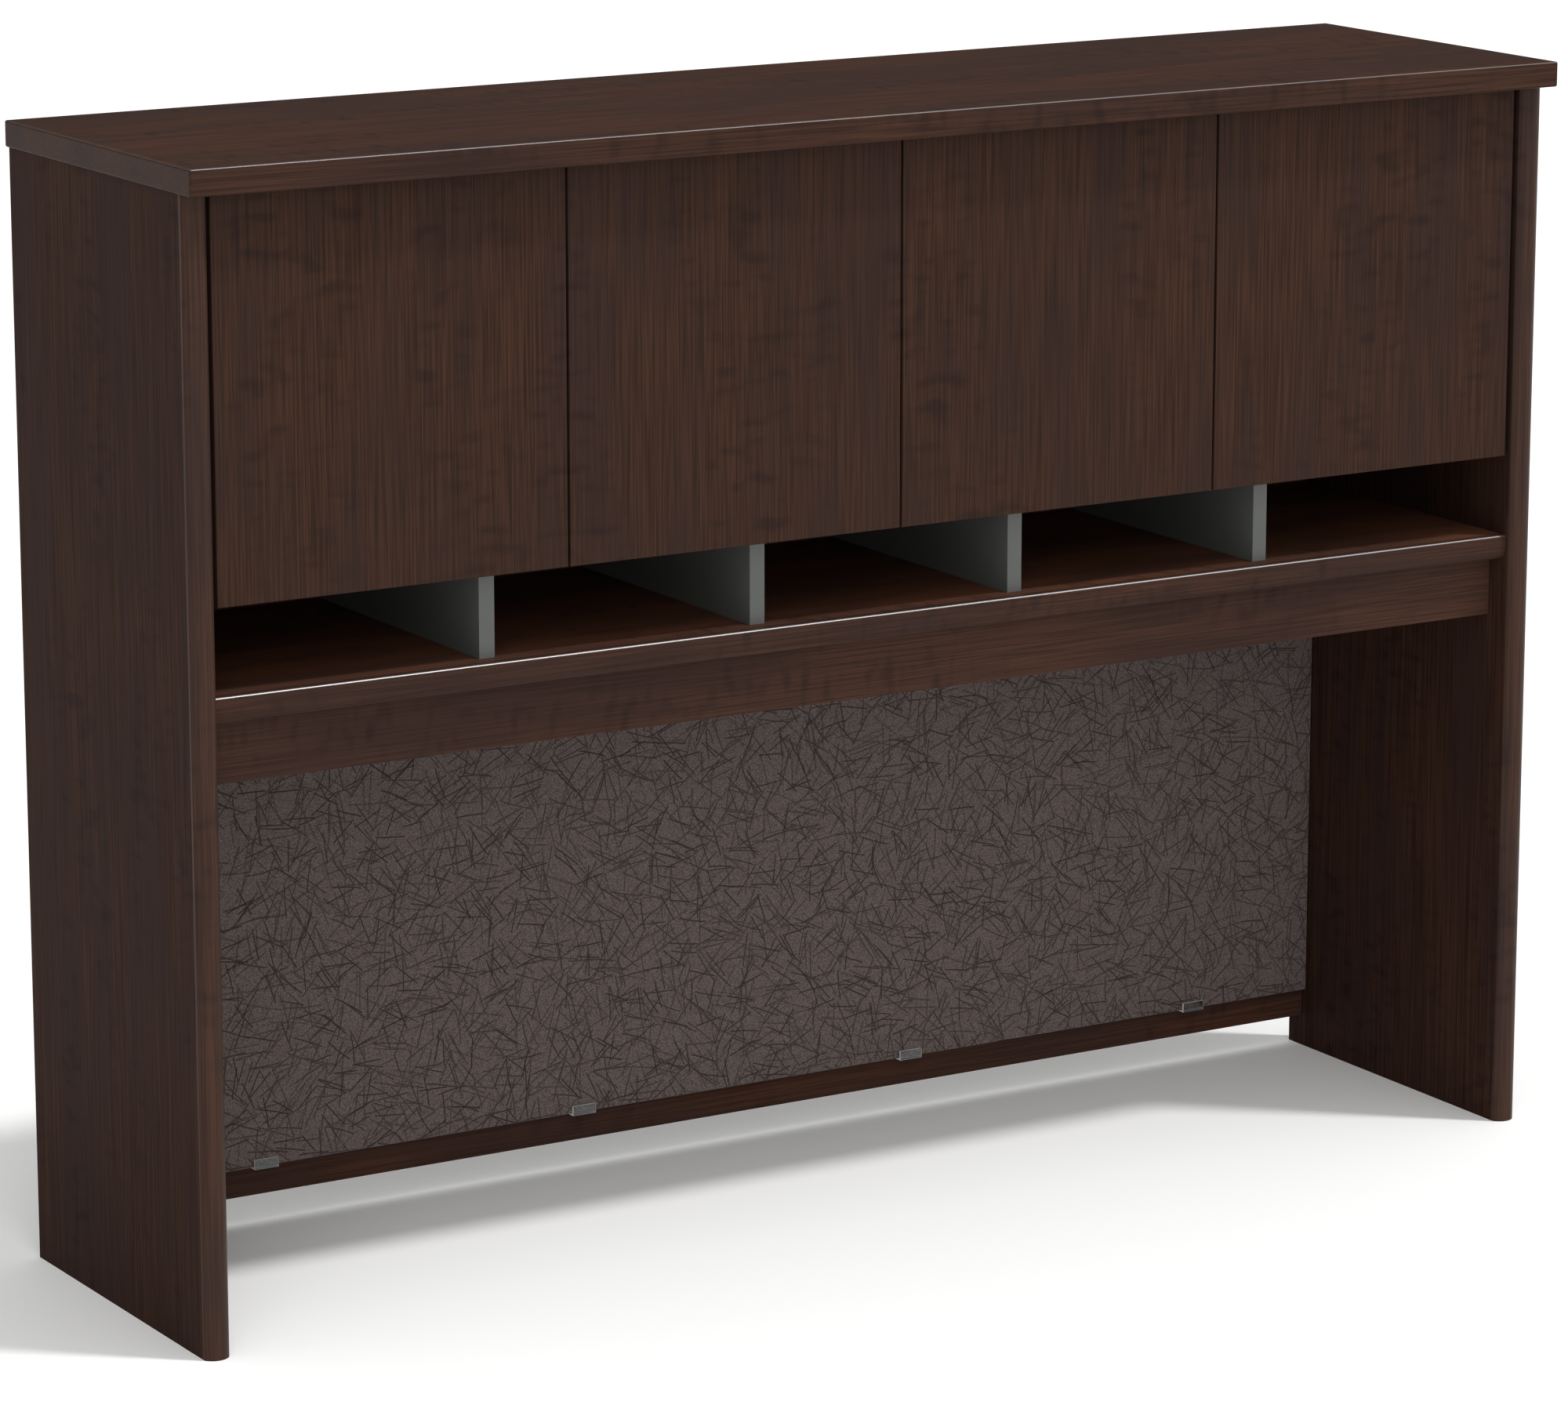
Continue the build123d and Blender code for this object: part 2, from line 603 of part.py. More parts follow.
# ---------------------------------------------------------------- doors and their hinges
link_half = link_width / 2
link_bend_points = [(u, door_thickness + back) for u, back in link_bends]
for number, edge, run, face in doors:
    frames = hinge_frames(edge, run)
    low, high = sorted((edge, edge + run * door_span))
    cup_places = [at(f, cup_centre_u, door_thickness, 0, 90) for f in frames]

    with BuildPart() as door:
        board((low + edge_band, high - edge_band), (door_front, door_back),
              (door_bottom + edge_band, door_top - edge_band))
        rod(cup_places, cup_radius + fit, cup_depth + fit, Mode.SUBTRACT)
        rod(cup_screw_places(edge, run), screw_radius + fit, cup_screw_length + fit, Mode.SUBTRACT)
    finish(door, f"door_{number}")

    with BuildPart() as door_edge_bands:
        strips((low, high, door_bottom, door_top),
               (low + edge_band, high - edge_band, door_bottom + edge_band, door_top - edge_band),
               (door_front, door_back))
        front_face = door_edge_bands.faces().filter_by(Axis.Y).sort_by(Axis.Y)[0]
        fillet(front_face.outer_wire().edges(), door_edge_round)
    finish(door_edge_bands, f"door_{number}_edge_bands")

    with BuildPart() as hinge_cups:
        for frame in frames:
            with BuildSketch(Plane(at(frame, 0, door_thickness, 0, 90))):
                with Locations(((flange_low_u + flange_high_u) / 2, 0)):
                    Rectangle(flange_high_u - flange_low_u, flange_length)
            extrude(amount=-flange)
        rod(cup_places, cup_radius, cup_depth)
        rod([at(f, cup_centre_u, door_thickness + flange, 0, 90) for f in frames],
            cup_radius - cup_wall, cup_depth + flange - cup_floor, Mode.SUBTRACT)
        rod([p * Location((0, 0, -flange)) for p in cup_screw_places(edge, run)],
            screw_radius + fit, flange, Mode.SUBTRACT)
    finish(hinge_cups, f"hinge_cups_{number}")

    with BuildPart() as cup_screws:
        rod([p * Location((0, 0, -flange)) for p in cup_screw_places(edge, run)],
            screw_radius, flange + cup_screw_length)
        rod([p * Location((0, 0, -flange), (180, 0, 0)) for p in cup_screw_places(edge, run)],
            screw_head_radius, screw_head)
    finish(cup_screws, f"cup_screws_{number}")

    with BuildPart() as hinge_links:
        for frame in frames:
            with BuildSketch(frame.offset(-link_half)):
                with BuildLine():
                    Bezier((link_pivot_u, link_pivot_v), *link_bend_points, link_end)
                trace(line_width=link_strip)
                with Locations(link_end):
                    Circle(link_tip)
                with Locations((link_pivot_u, link_pivot_v)):
                    Circle(link_eye)
                    Circle(hinge_pin + pin_clearance, mode=Mode.SUBTRACT)
            extrude(amount=link_width)
    finish(hinge_links, f"hinge_links_{number}")

    with BuildPart() as hinge_arms:
        for frame in frames:
            with BuildSketch(frame.offset(-arm_width / 2)):
                with BuildLine():
                    Polyline((link_pivot_u - link_eye, link_pivot_v), (arm_low_u, arm_clear_v),
                             (arm_low_u, arm_end_v), (arm_high_u, arm_end_v),
                             (arm_high_u, arm_start_v), (link_pivot_u + link_eye, link_pivot_v),
                             close=True)
                make_face()
                with Locations((link_pivot_u, link_pivot_v)):
                    Circle(link_eye)
                    Circle(hinge_pin + pin_clearance, mode=Mode.SUBTRACT)
            extrude(amount=arm_width)
            with BuildSketch(frame.offset(-arm_slot / 2)):
                slot_start_v = link_pivot_v - link_eye
                with Locations((link_pivot_u, (slot_start_v + arm_slot_v) / 2)):
                    Rectangle(4 * arm_high_u, arm_slot_v - slot_start_v)
            extrude(amount=arm_slot, mode=Mode.SUBTRACT)
        rod([at(f, arm_high_u, arm_screw_v, 0, 0, -90) for f in frames],
            screw_radius + fit, arm_high_u - arm_low_u, Mode.SUBTRACT)
    finish(hinge_arms, f"hinge_arms_{number}")

with BuildPart() as hinge_plates:
    for number, edge, run, face in doors:
        face_u = carcass_face_u(edge, run, face)
        for frame in hinge_frames(edge, run):
            with BuildSketch(frame.offset(-plate_width / 2)):
                with Locations(((face_u + arm_low_u) / 2, sum(plate_limits_v) / 2)):
                    Rectangle(arm_low_u - face_u, plate_limits_v[1] - plate_limits_v[0])
            extrude(amount=plate_width)
            with BuildSketch(frame.offset(-plate_wing_width / 2)):
                with Locations((face_u + plate_wing / 2, plate_screw_v)):
                    Rectangle(plate_wing, plate_width)
            extrude(amount=plate_wing_width)
            rod([at(frame, arm_low_u, arm_screw_v, 0, 0, -90)],
                screw_radius + fit, plate_wing, Mode.SUBTRACT)
    rod(side_plate_screws + partition_plate_screws, screw_radius + fit, plate_wing, Mode.SUBTRACT)
finish(hinge_plates, "hinge_plates")

with BuildPart() as arm_screws:
    arm_screw_places = [at(f, arm_high_u, arm_screw_v, 0, 0, -90)
                        for _, edge, run, _ in doors for f in hinge_frames(edge, run)]
    rod(arm_screw_places, screw_radius, arm_high_u - arm_low_u + plate_wing - fit)
    rod([p * Location((0, 0, 0), (180, 0, 0)) for p in arm_screw_places],
        screw_head_radius, screw_head)
finish(arm_screws, "arm_screws")

with BuildPart() as hinge_pins:
    rod([at(f, link_pivot_u, link_pivot_v, -arm_width / 2)
         for _, edge, run, _ in doors for f in hinge_frames(edge, run)], hinge_pin, arm_width)
finish(hinge_pins, "hinge_pins")
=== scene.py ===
"""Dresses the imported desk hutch: wood, fabric, plastic and steel finishes, stage and camera."""

import math

import bmesh
import bpy
from bpy.props import FloatProperty, FloatVectorProperty, PointerProperty
from bpy.types import Operator, Panel, PropertyGroup
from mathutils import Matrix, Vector


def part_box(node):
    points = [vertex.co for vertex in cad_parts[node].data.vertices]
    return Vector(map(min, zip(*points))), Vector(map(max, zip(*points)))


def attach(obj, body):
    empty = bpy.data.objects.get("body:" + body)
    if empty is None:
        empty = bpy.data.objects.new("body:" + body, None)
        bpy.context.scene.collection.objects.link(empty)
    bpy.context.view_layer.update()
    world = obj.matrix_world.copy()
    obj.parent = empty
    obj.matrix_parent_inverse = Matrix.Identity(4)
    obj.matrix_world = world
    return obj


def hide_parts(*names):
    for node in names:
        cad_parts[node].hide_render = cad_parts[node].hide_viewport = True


bl_info = {
    "name": "Desk hutch",
    "version": (1, 0, 0),
    "blender": (4, 5, 0),
    "location": "3D View > Sidebar > Hutch",
    "description": "Finishes a desk hutch around its CAD frame, part by part",
    "category": "Object",
}

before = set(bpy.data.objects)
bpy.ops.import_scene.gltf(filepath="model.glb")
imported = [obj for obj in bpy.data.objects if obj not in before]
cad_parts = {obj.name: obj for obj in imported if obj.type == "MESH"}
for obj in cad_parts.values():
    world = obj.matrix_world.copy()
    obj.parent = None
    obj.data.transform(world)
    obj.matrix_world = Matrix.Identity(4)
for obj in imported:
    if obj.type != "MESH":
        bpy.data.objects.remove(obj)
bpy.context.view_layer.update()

MM = 0.001
FLOOR_REACH = 60.0
CAMERA_REACH = 200.0

# suns: name, azimuth, elevation, strength, softness in degrees; a low broad fill that reaches
# into the cubbies, a key from the front left, a narrow rim that draws the highlights on rounded
# edges and a soft overhead light
LAMPS = (
    ("fill_light", -10.0, 11.0, 0.95, 40.0),
    ("key_light", -28.0, 38.0, 0.62, 40.0),
    ("rim_light", 50.0, 60.0, 1.7, 5.0),
    ("overhead_light", 0.0, 86.0, 1.5, 80.0),
)

# where a noise from 0 to 1 turns into each layer of the wood's figure
RIBBON_EDGES = (0.3, 0.7)
BAND_EDGES = (0.38, 0.66)
MARK_EDGES = (0.48, 0.85)
COLUMN_EDGES = (0.42, 0.66)
# how much of each layer shows
GROUND_SHARE = 0.35
BLUSH_SHARE = 0.55
MARK_SHARE = 0.38
# places in the noise for each layer, so that they don't line up
BAND_PLACE = 3.7
MARK_PLACE = 9.1
COLUMN_PLACE = 21.0
# how far a face's normal points up, from 0 to 1, on an upper face, where a painted light tone goes, and
# on a rounded upper edge
PAINTED_LIGHT_FACE = (0.4, 0.6)
ROUND_START = (0.35, 0.6)
ROUND_END = (0.98, 0.9)

# layers of twigs: how many, and each one's step and turn from the one before
TWIG_LAYERS = 12
TWIG_STEP = (0.37, 0.53)
TWIG_TURN = 1.1
TWIG_SCATTER = 0.8
# widths of a twig, as shares of the set one, where it fades out and where it is full
TWIG_FADE = (0.68, 0.38)
# half lengths of a twig, as shares of the set one, where it fades out and where it is full
TWIG_END = (0.5, 0.46)
FAINTEST_TWIG = 0.5
TWIG_SHORTENING = 0.25

YARN_EDGES = (0.3, 0.7)
GRIT_EDGES = (0.3, 0.7)
# widest spacing of the cuts that divide the fabric's flat faces
FABRIC_GRID = 30.0
# how far the fabric stands in from its CAD stand-in, as a share of the cloth's thickness
FABRIC_INSET = 0.2
FABRIC_SEGMENTS = 4
# slant at which clear plastic turns from an opaque white face, a painted highlight standing in for its
# bright edges, into a face that lets light through
PAINTED_EDGE_SLANT = (0.5, 0.3)


# ---------------------------------------------------------------- colours and small helpers
def linear(code):
    """Turn an sRGB hex colour into the linear RGBA that shaders use."""
    channels = [int(code[i:i + 2], 16) / 255 for i in (1, 3, 5)]
    curve = [c / 12.92 if c <= 0.04045 else ((c + 0.055) / 1.055) ** 2.4 for c in channels]
    return (*curve, 1.0)


def colour(name, description, code):
    """A colour property whose default is an sRGB hex colour."""
    return FloatVectorProperty(name=name, description=description, subtype="COLOR", size=4,
                               min=0.0, max=1.0, default=linear(code))


def length(name, description, millimetres):
    """A length property in metres whose default is given in millimetres."""
    return FloatProperty(name=name, description=description, default=millimetres * MM,
                         unit="LENGTH", subtype="DISTANCE", precision=5)


def add(tree, kind, inputs=None, **settings):
    """Add a node to a tree, with its settings, its input values and the links into it."""
    node = tree.nodes.new(kind)
    for key, value in settings.items():
        setattr(node, key, value)
    for key, value in (inputs or {}).items():
        if isinstance(value, bpy.types.NodeSocket):
            tree.links.new(value, node.inputs[key])
        else:
            node.inputs[key].default_value = value
    return node


def ramp(tree, factor, low, high):
    """Turn a factor into a smooth step from 0 at low to 1 at high."""
    return add(tree, "ShaderNodeMapRange", {"Value": factor, "From Min": low, "From Max": high},
               interpolation_type="SMOOTHSTEP").outputs["Result"]


def mixed(tree, factor, first, second):
    """Mix two colours, given as sockets or values."""
    node = add(tree, "ShaderNodeMix", {0: factor, 6: first, 7: second}, data_type="RGBA")
    return node.outputs[2]


def product(tree, first, second):
    """Multiply two numbers, given as sockets or values."""
    return add(tree, "ShaderNodeMath", {0: first, 1: second}, operation="MULTIPLY").outputs[0]


def new_material(name, **values):
    """Return a new material, its tree and its Principled shader, with the shader's values set."""
    material = bpy.data.materials.new(name)
    material.use_nodes = True
    tree = material.node_tree
    shader = tree.nodes["Principled BSDF"]
    for key, value in values.items():
        shader.inputs[key.replace("_", " ")].default_value = value
    return material, tree, shader


def dress(material, *nodes):
    """Give CAD nodes a material."""
    for name in nodes:
        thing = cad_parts[name]
        if not thing.material_slots:
            thing.data.materials.append(material)
        for slot in thing.material_slots:
            slot.material = material


def nodes_named(*starts):
    """Return the CAD nodes whose names start with any of these."""
    return [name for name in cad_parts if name.startswith(starts)]


# ---------------------------------------------------------------- settings
class HutchStage(PropertyGroup):
    """Camera and floor."""

    azimuth: FloatProperty(name="Azimuth", description="Camera's turn round the hutch, 0 in front",
                           default=math.radians(-31.186), subtype="ANGLE", unit="ROTATION")
    elevation: FloatProperty(name="Elevation", description="Camera's height angle",
                             default=math.radians(12.877), subtype="ANGLE", unit="ROTATION")
    distance: FloatProperty(name="Distance", description="From the camera to what it aims at",
                            default=6.072, unit="LENGTH", subtype="DISTANCE")
    aim: FloatVectorProperty(name="Aim", description="Point that the camera looks at",
                             default=(-0.0285, 0.0, 0.4889), subtype="XYZ", unit="LENGTH")
    lens: FloatProperty(name="Lens", description="Focal length in millimetres on a 36 mm sensor",
                        default=143.0)
    ambient: FloatProperty(name="Ambient", description="Brightness of the air round the studio",
                           default=0.2)
    floor_colour: colour("Floor", "Pale studio floor", "#F4F4F3")


class HutchWood(PropertyGroup):
    """Dark cherry laminate and the mouldings that match it."""

    ground: colour("Ground", "Main tone of the laminate", "#39271F")
    # painted shade: a darker tone for the side panels, standing in for the shade on sides turned away
    # from the light
    side_painted_shade: colour("Side ground", "Main tone of the side panels", "#2B1C17")
    door_ground: colour("Door ground", "Main tone of the doors", "#2C2019")
    # painted light: a lighter tone for the valance rail and the edge bands, which sit back in shade
    rail_painted_light: colour("Rail ground", "Main tone of the valance rail and edge bands", "#46322A")
    shade: colour("Shade", "Dark ribbons of the grain", "#291D18")
    ribbon: colour("Ribbon", "Lighter ribbons of the grain", "#493126")
    blush: colour("Blush", "Broad cooler bands", "#2F2321")
    mark: colour("Mark", "Cross-grain cherry marks", "#1B1516")
    # painted light: a redder tone for the lying boards, standing in for the light that falls on the top
    top_painted_light: colour("Top glow", "Redder tone of the top", "#3A2319")
    # painted light: a much lighter, redder tone for the cubby shelf's upper face, standing in for light
    # that reaches deep into the cubbies
    shelf_painted_light: colour("Shelf glow", "Redder tone of the cubby shelf", "#7A4C35")
    ribbon_width: length("Ribbon width", "Across one fine ribbon of the grain", 1.9)
    ribbon_length: length("Ribbon length", "Along one fine ribbon of the grain", 120.0)
    band_width: length("Band width", "Across one broad band of the grain", 62.0)
    band_length: length("Band length", "Along one broad band of the grain", 330.0)
    mark_width: length("Mark width", "Across one cherry mark", 26.0)
    mark_height: length("Mark height", "Along the grain on one cherry mark", 12.0)


class HutchFabric(PropertyGroup):
    """Tackboard fabric."""

    ground: colour("Ground", "Woven ground of the fabric", "#655A57")
    speckle: colour("Speckle", "Darker yarns in the ground", "#433937")
    twig: colour("Twig", "Dark twig-like threads", "#261C1A")
    twig_spacing: length("Twig spacing", "Between the middles of neighbouring twigs of one layer", 42.0)
    twig_length: length("Twig length", "Longest twig", 40.0)
    curl: FloatProperty(name="Curl", description="Bend of the twigs, per metre", default=6.0)
    twig_width: length("Twig width", "Across one twig", 1.15)
    yarn: length("Yarn", "Width of one yarn of the ground", 1.1)
    edge_round: length("Edge rounding", "Radius of the fabric over the core's edges", 2.0)
    cloth: length("Cloth thickness", "Thickness of the fabric", 0.7)


class HutchFittings(PropertyGroup):
    """Dividers, clips and metal parts."""

    grey: colour("Divider grey", "Grey laminate of the cubby dividers", "#5C5E5C")
    zinc: colour("Zinc", "Zinc-plated steel of hinges and screws", "#B9B7B0")
    brass: colour("Brass", "Turned brass of the foot inserts", "#B08D4C")
    beech: colour("Beech", "Raw beech dowels", "#C29A6B")
    fibreboard: colour("Fibreboard", "Raw core of the tackboard", "#8A6A4B")
    grit: length("Grit", "Grain of matt and plated surfaces", 0.8)


# ---------------------------------------------------------------- finishes
def cherry_laminate(name, along, ground, roughness=0.45, gloss=0.03, buffed=0.0,
                    upper=None):
    """Thermally fused laminate printed with dark stained cherry: satin, with fine ribbons
    that run along the board, broad soft bands and columns of blurred cross-grain marks.

    The real print's pores are about 0.4 mm wide, too fine to show, so the ribbons are drawn
    coarser, at the settings' ribbon width. A buffed board is shinier where its upper edges are
    rounded over, which draws a thin light line. A tone given for the upper face is painted light:
    it goes on the faces that point up and stands in for the light that falls on them.
    """
    wood = bpy.context.scene.hutch_wood
    material, tree, shader = new_material(name, Roughness=roughness, Specular_IOR_Level=gloss)
    place = add(tree, "ShaderNodeTexCoord").outputs["Object"]

    def stretched(across, lengthwise, detail, offset=0.0):
        """Noise whose features are across wide and lengthwise long, in metres."""
        scale = [1 / across] * 3
        scale["XYZ".index(along)] = 1 / lengthwise
        mapping = add(tree, "ShaderNodeMapping", {"Vector": place, "Scale": scale,
                                                  "Location": (offset, offset, offset)})
        return add(tree, "ShaderNodeTexNoise", {"Vector": mapping.outputs[0], "Scale": 1.0,
                                                "Detail": detail, "Roughness": 0.55}).outputs["Fac"]

    ribbons = stretched(wood.ribbon_width, wood.ribbon_length, 3.0)
    bands = stretched(wood.band_width, wood.band_length, 2.0, BAND_PLACE)
    marks = stretched(wood.mark_width, wood.mark_height, 0.0, MARK_PLACE)
    columns = stretched(wood.band_width, wood.band_length, 0.0, COLUMN_PLACE)

    tone = mixed(tree, ramp(tree, ribbons, *RIBBON_EDGES), wood.shade, wood.ribbon)
    if buffed or upper:
        facing = add(tree, "ShaderNodeNewGeometry").outputs["Normal"]
        rise = add(tree, "ShaderNodeSeparateXYZ", {0: facing}).outputs["Z"]
    # painted light: faces that point up take the lighter tone given for them
    if upper:
        ground = mixed(tree, ramp(tree, rise, *PAINTED_LIGHT_FACE), ground, upper)
    tone = mixed(tree, GROUND_SHARE, tone, ground)
    dulled = mixed(tree, BLUSH_SHARE, tone, wood.blush)
    tone = mixed(tree, ramp(tree, bands, *BAND_EDGES), tone, dulled)
    figure = product(tree, ramp(tree, marks, *MARK_EDGES), ramp(tree, columns, *COLUMN_EDGES))
    faint = product(tree, figure, MARK_SHARE)
    tone = mixed(tree, faint, tone, wood.mark)
    tree.links.new(tone, shader.inputs["Base Color"])
    bump = add(tree, "ShaderNodeBump", {"Height": ribbons, "Strength": 0.08, "Distance": 0.2 * MM})
    tree.links.new(bump.outputs[0], shader.inputs["Normal"])
    if buffed:
        rounded = product(tree, ramp(tree, rise, *ROUND_START), ramp(tree, rise, *ROUND_END))
        tree.links.new(product(tree, rounded, buffed), shader.inputs["Coat Weight"])
        # a higher index than a real coat's, so that the thin line shows
        shader.inputs["Coat Roughness"].default_value = 0.38
        shader.inputs["Coat IOR"].default_value = 2.4
    return material


def twig_fabric():
    """Woven polyester panel fabric: a matt speckled ground crossed by short dark threads.

    Its yarns are about 0.4 mm wide, too fine to show, so they are drawn coarser, at the
    settings' yarn width. Each layer holds one twig in each cell of a pattern of cells, turned
    by chance, and lies turned and moved from the layer before.
    """
    cloth = bpy.context.scene.hutch_fabric
    material, tree, shader = new_material("twig_woven_polyester", Roughness=0.9,
                                          Specular_IOR_Level=0.15, Sheen_Weight=0.15)
    place = add(tree, "ShaderNodeTexCoord").outputs["Object"]
    flat = add(tree, "ShaderNodeMapping", {"Vector": place, "Rotation": (math.pi / 2, 0, 0)})
    threads = None
    for layer in range(TWIG_LAYERS):
        step = (TWIG_STEP[0] * layer, TWIG_STEP[1] * layer, 0)
        moved = add(tree, "ShaderNodeMapping", {"Vector": flat.outputs[0], "Location": step,
                                                "Rotation": (0, 0, TWIG_TURN * layer)}).outputs[0]
        cell = add(tree, "ShaderNodeTexVoronoi", {"Vector": moved, "Scale": 1 / cloth.twig_spacing,
                                                  "Randomness": TWIG_SCATTER},
                   voronoi_dimensions="2D")
        chance = add(tree, "ShaderNodeSeparateColor", {0: cell.outputs["Color"]}).outputs
        inside = add(tree, "ShaderNodeVectorMath", {0: moved, 1: cell.outputs["Position"]},
                     operation="SUBTRACT").outputs[0]
        turn = product(tree, chance[0], math.tau)
        turned = add(tree, "ShaderNodeVectorRotate", {"Vector": inside, "Angle": turn},
                     rotation_type="Z_AXIS").outputs[0]
        sides = add(tree, "ShaderNodeSeparateXYZ", {0: turned})
        curl = add(tree, "ShaderNodeMath", {0: chance[1], 1: 0.5}, operation="SUBTRACT").outputs[0]
        curl = product(tree, curl, cloth.curl)
        square = product(tree, sides.outputs["X"], sides.outputs["X"])
        across = add(tree, "ShaderNodeMath", {0: square, 1: curl, 2: sides.outputs["Y"]},
                     operation="MULTIPLY_ADD").outputs[0]
        across = add(tree, "ShaderNodeMath", {0: across}, operation="ABSOLUTE").outputs[0]
        dark = add(tree, "ShaderNodeMapRange", {"Value": chance[2], "To Min": FAINTEST_TWIG}).outputs[0]
        stub = add(tree, "ShaderNodeMath", {0: dark, 1: TWIG_SHORTENING}, operation="ADD").outputs[0]
        along = product(tree, sides.outputs["X"], stub)
        along = add(tree, "ShaderNodeMath", {0: along}, operation="ABSOLUTE").outputs[0]
        thin = ramp(tree, across, *(share * cloth.twig_width for share in TWIG_FADE))
        short = ramp(tree, along, *(share * cloth.twig_length for share in TWIG_END))
        twig = product(tree, product(tree, thin, short), dark)
        if threads is not None:
            twig = add(tree, "ShaderNodeMath", {0: threads, 1: twig}, operation="MAXIMUM").outputs[0]
        threads = twig

    yarns = add(tree, "ShaderNodeTexNoise", {"Vector": flat.outputs[0], "Scale": 1 / cloth.yarn,
                                             "Detail": 1.0}).outputs["Fac"]
    ground = mixed(tree, ramp(tree, yarns, *YARN_EDGES), cloth.speckle, cloth.ground)
    tone = mixed(tree, threads, ground, cloth.twig)
    tree.links.new(tone, shader.inputs["Base Color"])
    height = add(tree, "ShaderNodeMath", {0: yarns, 1: threads}, operation="SUBTRACT").outputs[0]
    bump = add(tree, "ShaderNodeBump", {"Height": height, "Strength": 0.25, "Distance": 0.3 * MM})
    tree.links.new(bump.outputs[0], shader.inputs["Normal"])
    return material


def gritty(name, tone, spread, **values):
    """A finish whose tone and surface vary a little with a fine grit.

    The real grit is under 0.2 mm, too fine to show, so it is drawn coarser, at the settings'
    grit. Spread is how much darker its dark grains are.
    """
    material, tree, shader = new_material(name, **values)
    grit = bpy.context.scene.hutch_fittings.grit
    place = add(tree, "ShaderNodeTexCoord").outputs["Object"]
    noise = add(tree, "ShaderNodeTexNoise", {"Vector": place, "Scale": 1 / grit,
                                             "Detail": 2.0}).outputs["Fac"]
    darker = (*(c * (1 - spread) for c in tone[:3]), 1.0)
    grain = mixed(tree, ramp(tree, noise, *GRIT_EDGES), darker, tone)
    tree.links.new(grain, shader.inputs["Base Color"])
    bump = add(tree, "ShaderNodeBump", {"Height": noise, "Strength": 0.1, "Distance": 0.1 * MM})
    tree.links.new(bump.outputs[0], shader.inputs["Normal"])
    return material


# ---------------------------------------------------------------- operators
class HUTCH_OT_stage(Operator):
    """Lay the floor, place the lights and aim the camera."""

    bl_idname = "hutch.stage"
    bl_label = "Stage"

    def execute(self, context):
        stage = context.scene.hutch_stage
        context.scene.view_settings.view_transform = "Standard"

        mesh = bpy.data.meshes.new("floor")
        shape = bmesh.new()
        bmesh.ops.create_grid(shape, x_segments=1, y_segments=1, size=FLOOR_REACH)
        shape.to_mesh(mesh)
        shape.free()
        floor = bpy.data.objects.new("floor", mesh)
        # painted paper backdrop: matt and even, so it only shows soft shadows
        material, _, _ = new_material("matt_studio_floor", Base_Color=stage.floor_colour,
                                      Roughness=0.9, Specular_IOR_Level=0.1)
        mesh.materials.append(material)
        context.collection.objects.link(floor)

        world = bpy.data.worlds.new("studio")
        world.use_nodes = True
        sky = world.node_tree.nodes["Background"]
        sky.inputs["Color"].default_value = (1.0, 1.0, 1.0, 1.0)
        # the air is white behind the hutch and dimmer as a light
        seen = add(world.node_tree, "ShaderNodeLightPath").outputs["Is Camera Ray"]
        brightness = add(world.node_tree, "ShaderNodeMapRange",
                         {"Value": seen, "To Min": stage.ambient, "To Max": 1.0})
        world.node_tree.links.new(brightness.outputs[0], sky.inputs["Strength"])
        context.scene.world = world

        for name, turn, height, strength, softness in LAMPS:
            light = bpy.data.lights.new(name, "SUN")
            light.energy = strength
            light.angle = math.radians(softness)
            lamp = bpy.data.objects.new(name, light)
            toward = direction(math.radians(turn), math.radians(height))
            lamp.rotation_euler = toward.to_track_quat("Z", "Y").to_euler()
            context.collection.objects.link(lamp)

        lens = bpy.data.cameras.new("camera")
        lens.lens = stage.lens
        lens.clip_end = CAMERA_REACH
        camera = bpy.data.objects.new("camera", lens)
        away = direction(stage.azimuth, stage.elevation)
        camera.location = Vector(stage.aim) + away * stage.distance
        camera.rotation_euler = away.to_track_quat("Z", "Y").to_euler()
        context.collection.objects.link(camera)
        context.scene.camera = camera
        return {"FINISHED"}


def direction(azimuth, elevation):
    """Unit vector towards a point seen at this azimuth, 0 in front, and elevation."""
    return Vector((math.sin(azimuth) * math.cos(elevation),
                   -math.cos(azimuth) * math.cos(elevation), math.sin(elevation)))


class HUTCH_OT_boards(Operator):
    """Finish the carcass boards, upright and lying."""

    bl_idname = "hutch.boards"
    bl_label = "Boards"

    def execute(self, context):
        wood = context.scene.hutch_wood
        # pressed laminate on chipboard: dark, satin and even, with the grain upright on the sides; the
        # side panels get a darker tone, painted shade for sides turned away from the light
        dress(cherry_laminate("cherry_laminate_side_painted_shade", "Z", wood.side_painted_shade, gloss=0.01),
              "left_side_panel", "right_side_panel")
        dress(cherry_laminate("cherry_laminate_upright", "Z", wood.ground, gloss=0.015),
              "centre_partition")
        # the same, with the grain along the hutch; painted light: a redder tone, given to the whole of
        # each board, stands in for the light that falls on the top
        dress(cherry_laminate("cherry_laminate_lying_painted_light", "X", wood.top_painted_light, gloss=0.012),
              "top_panel", "compartment_floor", "lower_back_board")
        # painted light: the cubby shelf's upper face gets a much lighter, redder tone, standing in for
        # light that reaches deep into the cubbies
        dress(cherry_laminate("cherry_laminate_shelf_painted_light", "X", wood.ground, upper=wood.shelf_painted_light),
              "cubby_shelf")
        # painted light: a lighter tone for the valance rail and the compartment edge bands, which sit
        # back in shade
        dress(cherry_laminate("cherry_laminate_level_painted_light", "X", wood.rail_painted_light),
              "valance_rail", "valance_edge_band", "compartment_edge_bands")
        # printed foil on hardboard: duller than the laminate
        dress(cherry_laminate("cherry_foil_hardboard", "Z", wood.ground, roughness=0.6,
                              gloss=0.015),
              "upper_back_panel")
        return {"FINISHED"}


